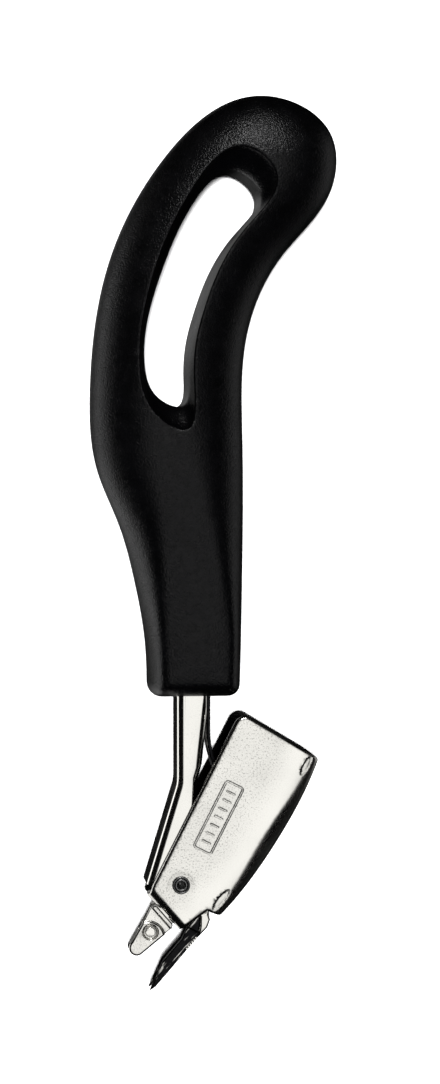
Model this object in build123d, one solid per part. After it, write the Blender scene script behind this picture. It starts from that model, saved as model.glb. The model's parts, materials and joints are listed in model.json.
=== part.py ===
"""Staple remover: a levered fork blade that clamps against a beak in a sprung rocker head.

Each piece is drawn about the pivot axis, with x towards the rocker back, y up the handle and z
along the rivet. It is then moved so that the tool lies on its side with the floor at z = 0.
"""

import os
from math import atan2, cos, degrees, radians, sin

from build123d import *

# Whole tool
HANDLE_THICK = 22.0
PIVOT_AT = (-7.21, -68.68, HANDLE_THICK / 2)

# Handle
HANDLE_END_Y = 37.8
HANDLE_LEFT_X = -6.3
HANDLE_RIGHT_X = 12.3
HANDLE_RIM_R = 4.8
HANDLE_END_R = 2.5
LOOP_RIM_R = 0.8
GRIP_PTS = [
    (-6.7, 48.7),
    (-8.8, 60.9),
    (-12.2, 73.0),
    (-16.4, 83.5),
    (-17.9, 99.0),
    (-14.6, 123.6),
    (-3.6, 145.6),
    (17.2, 159.4),
    (31.2, 151.7),
    (31.0, 139.9),
    (21.6, 127.6),
    (14.1, 111.4),
    (13.1, 90.0),
    (12.9, 60.0),
]
LOOP_BAND_HALF = 5.0
LOOP_WAIST_PTS = [
    (-7.1, 104.0),
    (-3.2, 125.0),
    (2.9, 137.6),
    (10.8, 143.7),
    (16.0, 139.3),
    (10.9, 129.2),
    (3.95, 115.3),
    (1.75, 103.6),
    (0.3, 96.6),
    (-4.7, 98.5),
]
LOOP_RIM_PTS = [
    (-8.4, 103.7),
    (-5.2, 124.4),
    (2.0, 139.5),
    (12.6, 147.9),
    (18.5, 142.6),
    (12.2, 131.6),
    (4.1, 115.5),
    (2.1, 103.6),
    (0.4, 92.0),
    (-5.2, 95.0),
]

# Shank channel
SHANK_SHEET = 1.2
SHANK_HALF = 4.8
SHANK_BEND_R = 1.5
TANG_TOP_Y = 76.0
TANG_LEFT_X = -0.7
TANG_RIGHT_X = 5.5
TANG_HOLES_Y = (52.0, 66.0)
TANG_HOLE_R = 1.8
TANG_HOLE_X = 2.9
SHANK_KINK = (TANG_LEFT_X, 20.5)
SHANK_TOE = (-6.9, 0.2)
SHANK_KINK_R = 7.0
POCKET_GAP = 0.05

# Leaf spring
LEAF_THICK = 0.7
LEAF_HALF = 3.2
LEAF_TOP_Y = 56.0
LEAF_BEND_Y = 31.0
LEAF_BEAR_DEG = -29.5
LEAF_BEAR_GAP = 0.12
LEAF_CURL_R = 1.5
LEAF_CURL_DEG = 120.0

# Head cover
HEAD_SHEET = 1.0
HEAD_HALF = 6.0
BACK_CENTRE = (-51.83, 53.74)
BACK_R = 85.1
BACK_BEND_R = 3.0
CORNER_LOW = (-6.6, -1.6)
CORNER_HIGH = (12.1, 35.0)
CORNER_BACK = (28.35, 25.2)
CORNER_TAB = (7.9, -6.8)
NOTCH = (5.4, -5.4)
CORNER_TOE = (0.0, -9.3)
CORNER_HIGH_R = 2.4
LIP_DEPTH = 1.8
LIP_BEND_R = 1.9
LIP_KEY = (4.4, 6.6)
LIP_STOP_LEN = 2.4
LIP_STOP_DEPTH = 2.6

# Pivot
RIVET_R = 1.5
RIVET_HEAD_R = 1.8
RIVET_HEAD_H = 0.45
RIVET_BORE_R = 0.8
RIVET_BORE_DEPTH = 3.0
RUNNING_GAP = 0.05
SPACER_R = 2.4

# Jaws
EAR_HALF = 3.4
EAR_R = 3.2
JAW_SLOT_HALF = 2.0
NOSE_HALF = 1.9
NOSE_ROUND_R = 0.45
NOSE_SLOT_HALF = 0.6
VALLEY_HALF = 1.4
COLLAR_HALF = 2.5
JAW_PIN_AT = (7.0, -5.05)
JAW_PIN_R = 0.8
JAW_PIN_HEAD_R = 1.0
PIN_WELL_R = 1.5
PIN_WELL_DEPTH = 0.35
FORK_HALF = 3.5
PRONG_HALF = 2.3
PRONG_GAP_HALF = 1.0
FORK_PINS_AT = ((5.9, -2.2), (4.5, -4.7))
FORK_PIN_R = 0.8

# The lip line under the head: u runs along it from the low corner, w runs up into the head
LIP_ANGLE = atan2(CORNER_TOE[1] - CORNER_LOW[1], CORNER_TOE[0] - CORNER_LOW[0])
LIP_LEN = ((CORNER_TOE[0] - CORNER_LOW[0]) ** 2 + (CORNER_TOE[1] - CORNER_LOW[1]) ** 2) ** 0.5
LIP_PLANE = Plane(
    origin=(*CORNER_LOW, 0), x_dir=(cos(LIP_ANGLE), sin(LIP_ANGLE), 0), z_dir=(0, 0, 1)
)


def lip_pt(u, w):
    """A point given along and above the lip line, in the pivot's axes."""
    return (
        CORNER_LOW[0] + u * cos(LIP_ANGLE) - w * sin(LIP_ANGLE),
        CORNER_LOW[1] + u * sin(LIP_ANGLE) + w * cos(LIP_ANGLE),
    )


def plate(outline, half, low=None):
    """A closed outline extruded to both sides of the middle plane, or from low up to half."""
    bottom = -half if low is None else low
    return extrude(Pos(0, 0, bottom) * make_face(outline), half - bottom, dir=(0, 0, 1))


def polygon(points):
    return Polyline(*points, close=True)


def rod(at, radius, half, low=None):
    """A round bar along z at a point of the profile."""
    bottom = -half if low is None else low
    return Pos(at[0], at[1], (half + bottom) / 2) * Cylinder(radius, half - bottom)


def slab(x0, x1, y0, y1, half, low=None):
    """A block with its sides along the axes."""
    bottom = -half if low is None else low
    size = Box(x1 - x0, y1 - y0, half - bottom)
    return Pos((x0 + x1) / 2, (y0 + y1) / 2, (half + bottom) / 2) * size


def both_sides(shape):
    return shape + mirror(shape, about=Plane.XY)


def long_edges(shape, z, y_above):
    """Edges in the plane at height z whose middles lie above a level along the handle."""
    flat = [e for e in shape.edges() if abs(e.bounding_box().min.Z - z) < 1e-3]
    flat = [e for e in flat if abs(e.bounding_box().max.Z - z) < 1e-3]
    return [e for e in flat if e.center().Y > y_above]


def loop_hole():
    """The finger loop: straight round its middle band and flared out to both faces."""
    waist = make_face(Spline(*LOOP_WAIST_PTS, periodic=True))
    rim = make_face(Spline(*LOOP_RIM_PTS, periodic=True))
    flare = loft([Pos(0, 0, LOOP_BAND_HALF) * waist, Pos(0, 0, HANDLE_THICK / 2) * rim], ruled=True)
    return both_sides(flare) + extrude(waist, LOOP_BAND_HALF, both=True)


def tang_envelope(grow):
    """The U-shaped space that the shank and the top of the leaf spring take in the handle."""
    wall = SHANK_SHEET + grow
    outer = slab(
        TANG_LEFT_X - grow,
        TANG_RIGHT_X + LEAF_THICK + 2 * grow,
        HANDLE_END_Y - 1,
        TANG_TOP_Y + grow,
        SHANK_HALF + grow,
    )
    core = slab(
        TANG_LEFT_X + wall,
        TANG_RIGHT_X - grow,
        HANDLE_END_Y - 2,
        TANG_TOP_Y + 2,
        SHANK_HALF - wall,
    )
    return outer - core


def handle():
    foot_left = (HANDLE_LEFT_X, HANDLE_END_Y)
    foot_right = (HANDLE_RIGHT_X, HANDLE_END_Y)
    side = Spline(foot_left, *GRIP_PTS, foot_right)
    outline = Curve() + [side, Line(foot_right, foot_left)]
    half = HANDLE_THICK / 2
    body = plate(outline, half)
    rims = long_edges(body, half, HANDLE_END_Y + 1) + long_edges(body, -half, HANDLE_END_Y + 1)
    body = fillet(rims, HANDLE_RIM_R)
    end_face = body.faces().sort_by(Axis.Y)[0]
    body = fillet(end_face.edges(), HANDLE_END_R)
    body -= loop_hole()
    rims = [e for e in body.edges() if e.bounding_box().size.Z < 1e-3]
    rims = [e for e in rims if abs(abs(e.center().Z) - half) < 1e-3 and inside_loop(e)]
    body = fillet(rims, LOOP_RIM_R)
    body -= tang_envelope(POCKET_GAP)
    for y in TANG_HOLES_Y:
        body += rod((TANG_HOLE_X, y), TANG_HOLE_R - POCKET_GAP, SHANK_HALF + 1)
    return body


def inside_loop(edge):
    """Whether an edge's box sits within the rim of the finger loop."""
    box = edge.bounding_box()
    return box.min.X > -10 and box.max.X < 20 and box.min.Y > 90 and box.max.Y < 150


def flange_outline():
    """Side plate of the lever: tang, kink, pivot boss, stop edge and the two fork arms."""
    left = [(TANG_LEFT_X, TANG_TOP_Y), SHANK_KINK, SHANK_TOE]
    stop = [lip_pt(0.1, 1.12), lip_pt(3.0, 1.12)]
    boss = [(-2.2, -4.4), (0.6, -5.2), (2.6, -5.4)]
    arm = [(4.0, -6.8), (3.95, -8.7), (3.5, -11.0), (5.45, -9.0), (6.05, -7.4), (5.7, -6.3)]
    back = [(6.2, -3.8), (7.0, -1.0), (6.4, 2.2), (4.2, 6.6), (2.6, 12.0)]
    right = [(3.0, 19.3), (4.4, 24.3), (5.0, 30.0), (TANG_RIGHT_X, 34.5)]
    return left + stop + boss + arm + back + right + [(TANG_RIGHT_X, TANG_TOP_Y)]


def shank():
    face = make_face(polygon(flange_outline()))
    kink = [v for v in face.vertices() if (v - Vertex(*SHANK_KINK)).center().length < 0.01]
    face = fillet(kink, SHANK_KINK_R)
    body = extrude(face, SHANK_HALF, both=True)
    body = fillet(web_bends(body), SHANK_BEND_R)
    slope = atan2(SHANK_KINK[1] - SHANK_TOE[1], SHANK_KINK[0] - SHANK_TOE[0])
    step = SHANK_SHEET / sin(slope)
    foot = (SHANK_TOE[0] + step - 8 * cos(slope), SHANK_TOE[1] - 8 * sin(slope))
    bend = (SHANK_KINK[0] + SHANK_SHEET, SHANK_KINK[1] - 0.15)
    channel = make_face(
        polygon([(bend[0], TANG_TOP_Y + 2), bend, foot, (30, -20), (30, TANG_TOP_Y + 2)])
    )
    turn = channel.vertices().filter_by(lambda v: abs(v.X - bend[0]) < 0.01 and v.Y < 30)
    channel = fillet(turn, SHANK_KINK_R + SHANK_SHEET)
    body -= extrude(channel, SHANK_HALF - SHANK_SHEET, both=True)
    body -= rod((0, 0), RIVET_R + RUNNING_GAP, SHANK_HALF + 1)
    for at in FORK_PINS_AT:
        body -= rod(at, FORK_PIN_R + POCKET_GAP / 2, SHANK_HALF + 1)
    for y in TANG_HOLES_Y:
        body -= rod((TANG_HOLE_X, y), TANG_HOLE_R, SHANK_HALF + 1)
    return body


def web_bends(body):
    """The long outer corners of the channel, along the web's left side."""
    chosen = []
    for edge in body.edges():
        box = edge.bounding_box()
        on_side = abs(abs(box.min.Z) - SHANK_HALF) < 1e-3 and box.size.Z < 1e-3
        middle = edge.center()
        web_x = TANG_LEFT_X
        if middle.Y < SHANK_KINK[1]:
            run = (SHANK_KINK[1] - middle.Y) / (SHANK_KINK[1] - SHANK_TOE[1])
            web_x = SHANK_KINK[0] + run * (SHANK_TOE[0] - SHANK_KINK[0])
        if on_side and abs(middle.X - web_x) < 0.4 and middle.Y > 2:
            chosen.append(edge)
    return chosen


def return_spring():
    """A leaf laid over the channel's mouth, curving into the head to bear on its back."""
    top_x = TANG_RIGHT_X + LEAF_THICK / 2 + POCKET_GAP / 2
    bear_r = BACK_R - HEAD_SHEET - LEAF_CURL_R - LEAF_THICK / 2 - LEAF_BEAR_GAP
    curl_x = BACK_CENTRE[0] + bear_r * cos(radians(LEAF_BEAR_DEG))
    curl_y = BACK_CENTRE[1] + bear_r * sin(radians(LEAF_BEAR_DEG))
    dx = curl_x - top_x
    dy = curl_y - LEAF_BEND_Y
    bow_r = (dx**2 + dy**2 - LEAF_CURL_R**2) / (2 * (dx - LEAF_CURL_R))
    bow_end = degrees(atan2(dy, dx - bow_r))
    straight = Line((top_x, LEAF_TOP_Y), (top_x, LEAF_BEND_Y))
    bow = CenterArc((top_x + bow_r, LEAF_BEND_Y), bow_r, 180, bow_end + 180)
    curl = CenterArc((curl_x, curl_y), LEAF_CURL_R, bow_end, LEAF_CURL_DEG)
    start = Plane(origin=(top_x, LEAF_TOP_Y, 0), x_dir=(0, 0, 1), z_dir=(0, -1, 0))
    section = start * Rectangle(2 * LEAF_HALF, LEAF_THICK)
    return sweep(section, path=Curve() + [straight, bow, curl])


def head_cover():
    start = degrees(atan2(CORNER_TAB[1] - BACK_CENTRE[1], CORNER_TAB[0] - BACK_CENTRE[0]))
    stop = degrees(atan2(CORNER_BACK[1] - BACK_CENTRE[1], CORNER_BACK[0] - BACK_CENTRE[0]))
    back = CenterArc(BACK_CENTRE, BACK_R, start, stop - start)
    rest = Polyline(back @ 1, CORNER_HIGH, CORNER_LOW, CORNER_TOE, NOTCH, back @ 0)
    face = make_face(Curve() + [back, rest])
    high = face.vertices().filter_by(lambda v: abs(v.Y - CORNER_HIGH[1]) < 0.01)
    face = fillet(high, CORNER_HIGH_R)
    body = extrude(face, HEAD_HALF, both=True)
    body = fillet(head_bends(body), BACK_BEND_R)
    body = fillet(lip_bends(body), LIP_BEND_R)
    inner = CenterArc(BACK_CENTRE, BACK_R - HEAD_SHEET, start - 8, stop - start + 16)
    over_lip = [lip_pt(-14, HEAD_SHEET), lip_pt(LIP_LEN - 0.6, HEAD_SHEET)]
    past_toe = [lip_pt(LIP_LEN - 0.6, -6), lip_pt(LIP_LEN + 8, -6)]
    loop = Polyline(inner @ 1, (-20, 60), *over_lip, *past_toe, inner @ 0)
    cavity = extrude(make_face(Curve() + [inner, loop]), HEAD_HALF - HEAD_SHEET, both=True)
    long_corners = [e for e in cavity.edges() if e.length > 25 and e.center().X > 5]
    long_corners = [e for e in long_corners if e.geom_type == GeomType.CIRCLE]
    cavity = fillet(long_corners, BACK_BEND_R - HEAD_SHEET)
    body -= cavity
    u0 = LIP_STOP_LEN
    body -= on_lip(u0, LIP_LEN + 2, -2, HEAD_SHEET + 0.2, HEAD_HALF - LIP_DEPTH)
    body -= on_lip(-2, u0 + 0.2, -2, HEAD_SHEET + 0.2, HEAD_HALF - LIP_STOP_DEPTH)
    body -= on_lip(*LIP_KEY, -2, HEAD_SHEET + 0.2, HEAD_HALF - HEAD_SHEET)
    body -= rod((0, 0), RIVET_R, HEAD_HALF + 1)
    return body


def on_lip(u0, u1, w0, w1, half):
    """A block lying along the lip line."""
    return LIP_PLANE * slab(u0, u1, w0, w1, half)


def head_bends(body):
    """The two long outer corners of the rocker back."""
    sides = [e for e in body.edges() if e.geom_type == GeomType.CIRCLE and e.length > 25]
    return sides


def lip_bends(body):
    """The outer corners of the side plates along the lip line."""
    chosen = []
    for edge in body.edges():
        middle = edge.center()
        flat = edge.bounding_box().size.Z < 1e-3 and abs(abs(middle.Z) - HEAD_HALF) < 1e-3
        near = abs(middle.X - CORNER_TOE[0] / 2 - CORNER_LOW[0] / 2) < 0.5
        if flat and near and middle.Y < 0:
            chosen.append(edge)
    return chosen


def upper_jaw():
    """A U-shaped beak: two ears on the rivet, a keyed collar, a valley and a rounded nose."""
    pivot = (
        -CORNER_LOW[0] * cos(LIP_ANGLE) - CORNER_LOW[1] * sin(LIP_ANGLE),
        CORNER_LOW[0] * sin(LIP_ANGLE) - CORNER_LOW[1] * cos(LIP_ANGLE),
    )
    tip = ThreePointArc((6.0, -9.3), (7.6, -10.85), (9.25, -9.3))
    crest = ThreePointArc((9.4, -3.3), (6.4, -3.0), (4.45, -4.9))
    sides = [Line(tip @ 1, crest @ 0), Line(crest @ 1, tip @ 0)]
    nose = plate(Curve() + [tip, crest, *sides], NOSE_HALF)
    nose = fillet(nose.faces().filter_by(Axis.Z).edges(), NOSE_ROUND_R)
    step = [(9.35, -1.5), (8.8, -0.6), (3.6, -0.6), (3.15, -1.5)]
    valley = plate(polygon([(4.6, -5.1), (9.35, -5.1), *step]), VALLEY_HALF)
    collar = plate(polygon(step), COLLAR_HALF)
    shoulders = [(3.6, -0.6), (8.4, -0.6)]
    neck_top = [(pivot[0] + EAR_R, pivot[1]), (pivot[0] - EAR_R, pivot[1])]
    neck = plate(polygon(shoulders + neck_top), EAR_HALF)
    ears = rod(pivot, EAR_R, EAR_HALF)
    key = slab(LIP_KEY[0] + 0.05, LIP_KEY[1] - 0.05, 0.05, HEAD_SHEET - 0.05, 4.95)
    body = nose + valley + collar + neck + ears + key
    body -= slab(-4, 12, -6.6, 0.5, NOSE_SLOT_HALF)
    body -= slab(-4, 12, 0.5, 12, JAW_SLOT_HALF)
    body -= rod(pivot, RIVET_R, EAR_HALF + 1)
    body -= rod(JAW_PIN_AT, JAW_PIN_R, NOSE_HALF + 1)
    body -= both_sides(rod(JAW_PIN_AT, PIN_WELL_R, NOSE_HALF + 1, NOSE_HALF - PIN_WELL_DEPTH))
    return LIP_PLANE * body


def jaw_pin():
    """A cross pin through the beak's two cheeks, headed in the well on each side."""
    pin = rod(JAW_PIN_AT, JAW_PIN_R, NOSE_HALF - PIN_WELL_DEPTH)
    head = rod(JAW_PIN_AT, JAW_PIN_HEAD_R, NOSE_HALF, NOSE_HALF - PIN_WELL_DEPTH)
    return LIP_PLANE * (pin + both_sides(head))


def pivot_rivet():
    """Semi-tubular rivet through the cover, the beak's ears and the lever."""
    body = rod((0, 0), RIVET_R, HEAD_HALF)
    head = rod((0, 0), RIVET_HEAD_R, HEAD_HALF + RIVET_HEAD_H, HEAD_HALF)
    body += both_sides(head)
    top = HEAD_HALF + RIVET_HEAD_H
    body -= rod((0, 0), RIVET_BORE_R, top + 1, top - RIVET_BORE_DEPTH)
    return body


def pivot_spacer():
    """Short tube on the rivet that holds the beak's ears apart."""
    length = JAW_SLOT_HALF - POCKET_GAP / 2
    return rod((0, 0), SPACER_R, length) - rod((0, 0), RIVET_R, length + 1)


def fork_blade():
    """Hardened two-pronged blade, its wider root pinned between the lever's arms."""
    prong = [(-6.0, -22.05), (-4.9, -21.35), (-1.25, -17.2), (1.65, -13.8), (3.75, -11.4)]
    heel = [(5.4, -9.0), (6.0, -7.3), (5.9, -5.8)]
    lug = [(7.0, -3.4), (7.2, -0.8), (5.8, 0.2), (4.4, -1.2), (4.0, -3.4), (2.6, -5.0)]
    root = [(2.75, -6.6), (1.4, -9.6), (0.55, -11.6), (-3.35, -16.1)]
    body = plate(polygon(prong + heel + lug + root), FORK_HALF)
    below_arms = polygon([(-12, -26), (-12, -8), (0.8, -8.6), (5.6, -11.2), (8, -26)])
    body -= both_sides(plate(below_arms, FORK_HALF + 1, PRONG_HALF))
    gap = polygon([(-9, -23), (-2.5, -23), (4.3, -11.9), (1.9, -9.3), (-4, -12.5)])
    body -= plate(gap, PRONG_GAP_HALF)
    for at in FORK_PINS_AT:
        body -= rod(at, FORK_PIN_R, FORK_HALF + 1)
    return body


def fork_pins():
    """Two riveted cross pins through the lever's arms and the blade's root."""
    return Part() + [rod(at, FORK_PIN_R, SHANK_HALF + 0.15) for at in FORK_PINS_AT]


PIECES = {
    "handle": handle,
    "shank": shank,
    "return_spring": return_spring,
    "fork_blade": fork_blade,
    "fork_pins": fork_pins,
    "head_cover": head_cover,
    "upper_jaw": upper_jaw,
    "jaw_pin": jaw_pin,
    "pivot_rivet": pivot_rivet,
    "pivot_spacer": pivot_spacer,
}

os.makedirs("parts", exist_ok=True)
for name, make in PIECES.items():
    piece = Pos(*PIVOT_AT) * make()
    piece.label = name
    export_step(piece, f"parts/{name}.step")
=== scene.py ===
"""Looks for the staple remover: smooth grip, pressed and plated head, jaws, leaf spring and light."""

import json
import math

import bmesh
import bpy
import numpy as np
from mathutils import Matrix, Vector
from mathutils.geometry import delaunay_2d_cdt

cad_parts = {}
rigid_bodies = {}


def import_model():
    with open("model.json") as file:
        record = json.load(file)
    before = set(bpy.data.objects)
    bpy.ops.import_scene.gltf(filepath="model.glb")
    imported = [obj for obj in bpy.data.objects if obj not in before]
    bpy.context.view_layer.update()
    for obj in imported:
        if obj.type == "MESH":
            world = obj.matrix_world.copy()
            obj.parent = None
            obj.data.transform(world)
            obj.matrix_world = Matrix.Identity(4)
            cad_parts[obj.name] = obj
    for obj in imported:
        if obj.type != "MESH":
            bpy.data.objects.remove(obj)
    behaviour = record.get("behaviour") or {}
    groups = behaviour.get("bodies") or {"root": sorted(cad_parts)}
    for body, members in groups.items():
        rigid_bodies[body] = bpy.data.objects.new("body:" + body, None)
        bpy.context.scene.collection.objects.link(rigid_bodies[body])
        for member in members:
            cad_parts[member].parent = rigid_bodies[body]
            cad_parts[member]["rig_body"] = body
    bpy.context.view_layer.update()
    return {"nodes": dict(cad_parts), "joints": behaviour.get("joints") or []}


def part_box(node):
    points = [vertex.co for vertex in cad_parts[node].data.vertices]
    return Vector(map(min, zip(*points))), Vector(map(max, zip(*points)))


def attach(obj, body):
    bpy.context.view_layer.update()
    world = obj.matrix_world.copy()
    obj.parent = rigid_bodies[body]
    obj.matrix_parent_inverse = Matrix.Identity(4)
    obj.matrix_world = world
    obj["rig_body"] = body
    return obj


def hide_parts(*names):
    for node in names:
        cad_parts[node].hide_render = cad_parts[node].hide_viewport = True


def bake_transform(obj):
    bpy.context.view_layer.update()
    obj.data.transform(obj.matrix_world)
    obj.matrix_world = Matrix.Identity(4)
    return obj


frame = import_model()

NICKEL = (0.945, 0.93, 0.875)
# All lengths below are in millimetres about the pivot, unless a name says otherwise.
MM = 0.001
PIVOT = Vector(frame["joints"][0]["pos_m"])
HALF_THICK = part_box("handle")[1].z / 2 / MM

# Grip outline, from the left of its foot up round the loop end to the right of its foot
FOOT_Y = 37.8
FOOT_LEFT_X = -6.3
FOOT_RIGHT_X = 12.3
FOOT_CORNER_R = 2.6
GRIP_PTS = [
    (-6.7, 48.7), (-8.8, 60.9), (-12.2, 73.0), (-16.4, 83.5), (-17.9, 99.0), (-14.6, 123.6),
    (-3.6, 145.6), (17.2, 159.4), (31.2, 151.7), (31.0, 139.9), (21.6, 127.6), (14.1, 111.4),
    (13.1, 90.0), (12.9, 60.0),
]
LOOP_WAIST_PTS = [
    (-7.1, 104.0), (-3.2, 125.0), (2.9, 137.6), (10.8, 143.7), (16.0, 139.3),
    (10.9, 129.2), (3.95, 115.3), (1.75, 103.6), (0.3, 96.6), (-4.7, 98.5),
]
LOOP_RIM_PTS = [
    (-8.4, 103.7), (-5.2, 124.4), (2.0, 139.5), (12.6, 147.9), (18.5, 142.6),
    (12.2, 131.6), (4.1, 115.5), (2.1, 103.6), (0.4, 92.0), (-5.2, 95.0),
]
LOOP_BAND_HALF = 5.0
LOOP_BAND_ROWS = (0.96, 0.5, 0.0)
LOOP_RIM_ROUND = 0.5
LOOP_WALL_STEPS = 10
LOOP_FLARE = 1.3

# How the grip rounds over, low on the shank side and up round the loop: how far in the rounding
# reaches, its squareness, and how much the face still rises beyond it towards the middle
EDGE_LOW = (3.2, 2.1, 0.9)
EDGE_LOOP = (14.0, 2.0, 0.0)
EDGE_BLEND_Y = (46.0, 100.0)
CROWN_REACH = 9.6
PARTING_HALF = 0.09

# The grip's mesh: spacing along its outline and of its grid, rings in from the outline and out from
# the loop's rim, and the room that the grid and the rim's rings leave
OUTLINE_STEP = 0.9
GRID_STEP = 0.95
EDGE_RINGS = (0.02, 0.07, 0.16, 0.3, 0.5, 0.8, 1.2, 1.7, 2.3, 3.0, 3.8)
RIM_RINGS = (0.1, 0.25, 0.45, 0.7, 1.1)
GRID_OFF_RINGS = 0.5
GRID_OFF_RIM = 1.7
RIM_OFF_OUTLINE = 4.3

# Leaf spring
LEAF_THICK = 0.7
LEAF_HALF = 3.2
LEAF_EDGE = 0.18
LEAF_X = 5.875
LEAF_TOP_Y = 56.0
LEAF_BEND_Y = 31.0
LEAF_CURL_R = 1.5
LEAF_CURL_DEG = 120.0
LEAF_BEAR_DEG = -29.5

# Head cover: a pressed sheet with a rolled back, two inturned lips and cut edges rounded by the die
SHEET = 1.0
HEAD_HALF = 6.0
BACK_CENTRE = np.array((-51.83, 53.74))
BACK_R = 85.1
BACK_BEND_R = 2.2
BACK_BEND_SWELL = 1.8
CORNER_LOW = np.array((-6.6, -1.6))
CORNER_HIGH = np.array((12.1, 35.0))
CORNER_BACK = np.array((28.35, 25.2))
CORNER_TAB = np.array((7.9, -6.8))
NOTCH = np.array((5.4, -5.4))
CORNER_TOE = np.array((0.0, -9.3))
CORNER_HIGH_R = 2.4
LIP_BEND_R = 1.8
LIP_BEND_DEG = 68.0
LIP_BEND_W = 1.62
LIP_KEY = (4.4, 6.6)
LIP_STOP_LEN = 2.4
LIP_FREE_Z = 3.64
LIP_STOP_Z = 3.3
LIP_TOE_LEN = 1.6
LIP_TOE_Z = 4.05
CUT_ROUND = 0.7
LEAF_BEAR_R = BACK_R - SHEET - LEAF_CURL_R - LEAF_THICK / 2 - 0.12

# Dents where the back's bend runs out: (centre, direction, half length, half width, depth)
DENTS = [((25.5, 23.9), (0.5, 0.87), 2.5, 0.75, 0.14), ((8.1, -3.2), (0.63, 0.78), 2.9, 0.85, 0.14)]
# A plain pressed panel: centre, half length and half width, border and depth, and its cross ribs
PANEL_AT = (7.6, 13.6)
PANEL_HALF = (7.4, 1.9)
PANEL_CORNER_R = 0.5
PANEL_LINE = 0.16
PANEL_DEPTH = 0.07
PANEL_RIBS = 7
RIB_HALF_LEN = 1.0
# The dish pressed round the rivet: radius and depth
DISH_R = 2.6
DISH_DEPTH = 0.1
# Distances in from the back over which the hand polish fades to speckle, and over which the rough
# wear of the bend itself fades out
POLISH_FROM_BACK = (4.5, 10.0)
WORN_FROM_BACK = (1.5, 4.5)

# The cover's mesh: steps of its grid, its cuts, its lip and its panel; the panel's margin and the
# room round it; rows over the back and the lip, run a little past their ends (in radians); rings
# round the rivet, in the dents and in from the cuts
COVER_STEP = 0.8
CUT_STEP = 0.6
SEAM_POINTS = 50
LIP_STEP = 0.45
LIP_ROWS = 12
PANEL_STEP = 0.16
PANEL_MARGIN = 0.6
PANEL_ROOM = 0.7
BACK_ROWS = 12
BACK_COLUMNS = 64
BACK_OVERRUN = 0.02
LIP_OVERRUN = 0.5
RIVET_RINGS = (1.9, 2.3, 2.7, 3.1)
RIVET_ROOM = 3.4
SEAM_ROOM = 0.5
DENT_RINGS = (0.25, 0.5, 0.75, 0.92, 1.0, 1.1)
CUT_RINGS = (0.04, 0.12, 0.24, 0.4, 0.6)

LIP_TURN = math.radians(LIP_BEND_DEG)

# Points nearer the grip's outline than this are on it, and corners closer than WELD are one
ON_OUTLINE = 0.005
WELD = 0.001
# The same for corners of a CAD node and of the cover, and for the rivet's, in metres; CAD faces
# that turn by less than this many degrees are one
SHEET_WELD_M = 2e-6
RIVET_WELD_M = 1e-7
FLAT_DEG = 0.6

# Edges whose faces turn by an angle between these, in degrees, are broken; a point stays sharp
SOFTEST_EDGE = 28.0
SHARPEST_EDGE = 115.0
# On the channel only long edges of its outer faces are, and most of all above the head
SHANK_HALF = 4.8
SHORTEST_EDGE = 1.0
ROLLED_FROM_Y = 8.0
SLIGHT_BREAK = 0.35

# Filed teeth on the prongs' working edge: first and last middle, size, and the prongs' sides
TEETH_FROM = (1.75, -13.8)
TEETH_TO = (3.6, -11.65)
TEETH = 6
TOOTH_HALF = 0.13
TOOTH_DEEP = 0.45
TOOTH_PROUD = 0.05
PRONG_Z = (0.95, 2.34)

# Rivet: its body, heads and bore; how proud the near head stands; depths below its top of the
# bore's floor, cone and wall, and of the rolled ring; the ring, the brim and the far head's dome
RIVET_R = 1.5
RIVET_HEAD_R = 1.8
RIVET_BORE_R = 0.8
PLATE_Z = 6.0
RIVET_PROUD = 0.45
BORE_CONE = 0.6
BORE_FLOOR_DEEP = 3.0
BORE_CONE_DEEP = 2.9
BORE_WALL_DEEP = 2.4
BORE_LIP_DEEP = 0.35
ROLL_DEEP = 0.25
ROLL_HALF = 0.25
ROLL_TALL = 0.16
GROOVE_OUT = 0.53
GROOVE_DEEP = 0.3
BRIM_HALF = 0.22
BRIM_TALL = 0.25
UNDER_HEAD = 0.02
DOME_FOOT = 0.12
DOME_TALL = 0.33

# Finishes: noise scales are per metre and bump depths are in millimetres. Most of a noise's values
# lie within the first pair
NOISE_SPAN = (0.3, 0.7)
GRIP_BLACKS = ((0.0003, 0.0003, 0.0004), (0.0006, 0.0006, 0.0008))
GRIP_ROUGH = (0.28, 0.35)
GRAIN_DEPTH = 0.13
PARTING_DEPTH = 0.06
# Colour of the cover's inner faces: painted shade for the shadowed inside of the channel
PAINTED_INNER_SHADE = (0.05, 0.05, 0.048)
COVER_DUST = 0.95
COVER_PITS = 0.55
COVER_HAZE = (0.17, 0.24)
COVER_PEBBLE = 0.03
WORN_ROUGHER = 0.17
POLISH_SMOOTHER = 0.07
GRIND_STRETCH = 9.0
GRIND_DEPTH = 0.03
RUB_DEPTH = 0.05

# Camera: it looks down on the tool from a little to its left
LOOK_AT = (7.87, 69.3, 6.0)
CAMERA_AT = (-52.86, 90.15, 526.0)
FRAME_HEIGHT = 218.0
SENSOR_MM = 36.0

# Surroundings, by the direction looked in (unit vector x, y, z). Four numbers say where a light
# starts, is full, is still full and ends. BOX_SOFT and RING_Y say how far out it is full and where
# it ends, and the other pairs where it starts and where it is full. BOX is an overhead softbox: its
# middle, half sizes and soft edge. RING is a low band at the left and right, which falls across
# RING_X to RING_RIGHT of its level, so that the grip's left limb shines more than its palm side.
# TABLE is a lit table below on the left, and UNDER is light from almost straight below
BOX_AT = (0.11, -0.05)
BOX_HALF = (0.27, 0.38)
BOX_SOFT = (0.6, 1.2)
RING_Z = (-0.64, -0.46, -0.22, -0.05)
RING_Y = (0.3, 0.44)
RING_LEVEL = 1.5
RING_X = (-0.1, 0.2)
RING_RIGHT = 0.3
TABLE_Z = (-0.4, -0.55, -0.84, -0.92)
TABLE_X = (-0.06, -0.2)
TABLE_Y = (-0.1, -0.28)
TABLE_LEVEL = 0.9
UNDER_Z = (-0.86, -0.95)
UNDER_X = (0.02, -0.06)
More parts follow.
